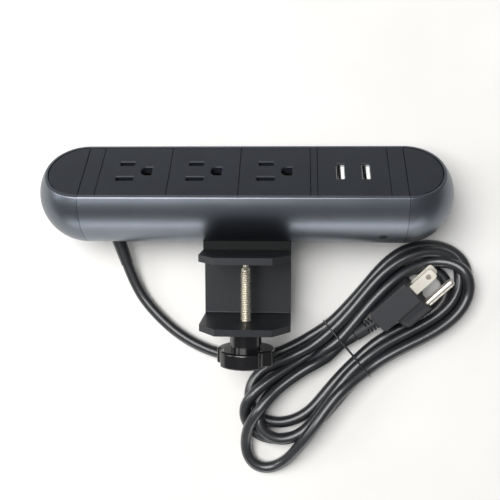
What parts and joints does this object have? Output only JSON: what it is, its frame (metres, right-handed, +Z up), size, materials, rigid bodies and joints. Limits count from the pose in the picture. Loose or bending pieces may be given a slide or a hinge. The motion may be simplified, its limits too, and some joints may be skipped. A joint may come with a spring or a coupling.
{
  "type": "desk power strip",
  "caption": "Clamp-on desk power strip: round-backed bar with three-pin outlets and USB-A ports on a flat face, screw clamp, tied mains cord with plug.",
  "frame": {"origin": "centre of the box of the object without its cord, on the surface it lies on", "axes": "+X along the strip to the right, +Y across the surface from the clamp knob to the strip, +Z up; the flat face leans back 48 degrees from +Y"},
  "size_m": [0.2565, 0.1964, 0.0679],
  "materials": {
    "anodised_body": "dark blue-grey anodised, satin",
    "end_metal": "dark blue-grey, fine grain",
    "face_plastic": "black, fine texture",
    "inner_plastic": "black nylon",
    "contact_brass": "stamped",
    "wire_pvc": "insulation",
    "usb_steel": "nickel plated",
    "usb_white": "white",
    "light_pipe": "clear",
    "board_green": "solder mask",
    "screw_black": "black oxide",
    "clamp_black": "black powder coat, satin",
    "zinc_screw": "nickel plated thread",
    "knob_black": "glossy black",
    "pad_black": "soft",
    "cord_pvc": "black PVC",
    "plug_pvc": "moulded PVC",
    "plug_nickel": "nickel plated brass"
  },
  "bodies": {
    "strip": {"body_shell": "anodised_body", "end_cap_left": "end_metal", "end_cap_right": "end_metal", "face_cap_left": "face_plastic", "face_cap_right": "face_plastic", "filler_strip_left": "face_plastic", "filler_strip_narrow": "face_plastic", "filler_strip_right": "face_plastic", "outlet_module_1": "face_plastic", "outlet_module_2": "face_plastic", "outlet_module_3": "face_plastic", "contacts_hot": "contact_brass", "contacts_neutral": "contact_brass", "contacts_ground": "contact_brass", "busbar_hot": "contact_brass", "busbar_neutral": "contact_brass", "busbar_ground": "contact_brass", "usb_module": "face_plastic", "usb_port_shells": "usb_steel", "usb_tongues": "usb_white", "usb_contacts": "contact_brass", "pilot_light": "light_pipe", "charger_board": "board_green", "chassis_tray": "inner_plastic", "inner_wires": "wire_pvc", "cap_screws": "screw_black", "clamp_bracket": "clamp_black", "clamp_saddle": "inner_plastic", "mounting_screws": "screw_black", "mounting_nuts": "usb_steel", "threaded_insert": "clamp_black", "cord_strain_relief": "cord_pvc", "cord_lead": "cord_pvc", "cord_hank": "cord_pvc", "cord_tail": "cord_pvc", "cord_tie": "cord_pvc", "plug_body": "plug_pvc", "plug_blades": "plug_nickel", "plug_ground_pin": "plug_nickel", "plug_strain_relief": "plug_pvc"},
    "pad": {"pad_cup": "zinc_screw", "pad_rubber": "pad_black"},
    "screw": {"clamp_screw": "zinc_screw", "clamp_knob": "knob_black"}
  },
  "joints": [
    {"name": "pad_travel", "type": "slide", "parent": "strip", "child": "pad", "axis": [0, 0.9903, 0.1392], "range_m": [-0.0279, 0]},
    {"name": "screw_turn", "type": "hinge", "parent": "pad", "child": "screw", "pos_m": [0.002, -0.02648, 0.04094], "axis": [0, 0.9903, 0.1392], "range_deg": [-7920, 0]}
  ],
  "couplings": [
    {"joint": "screw_turn", "follows": "pad_travel", "rad_per_m": 4947.4}
  ]
}
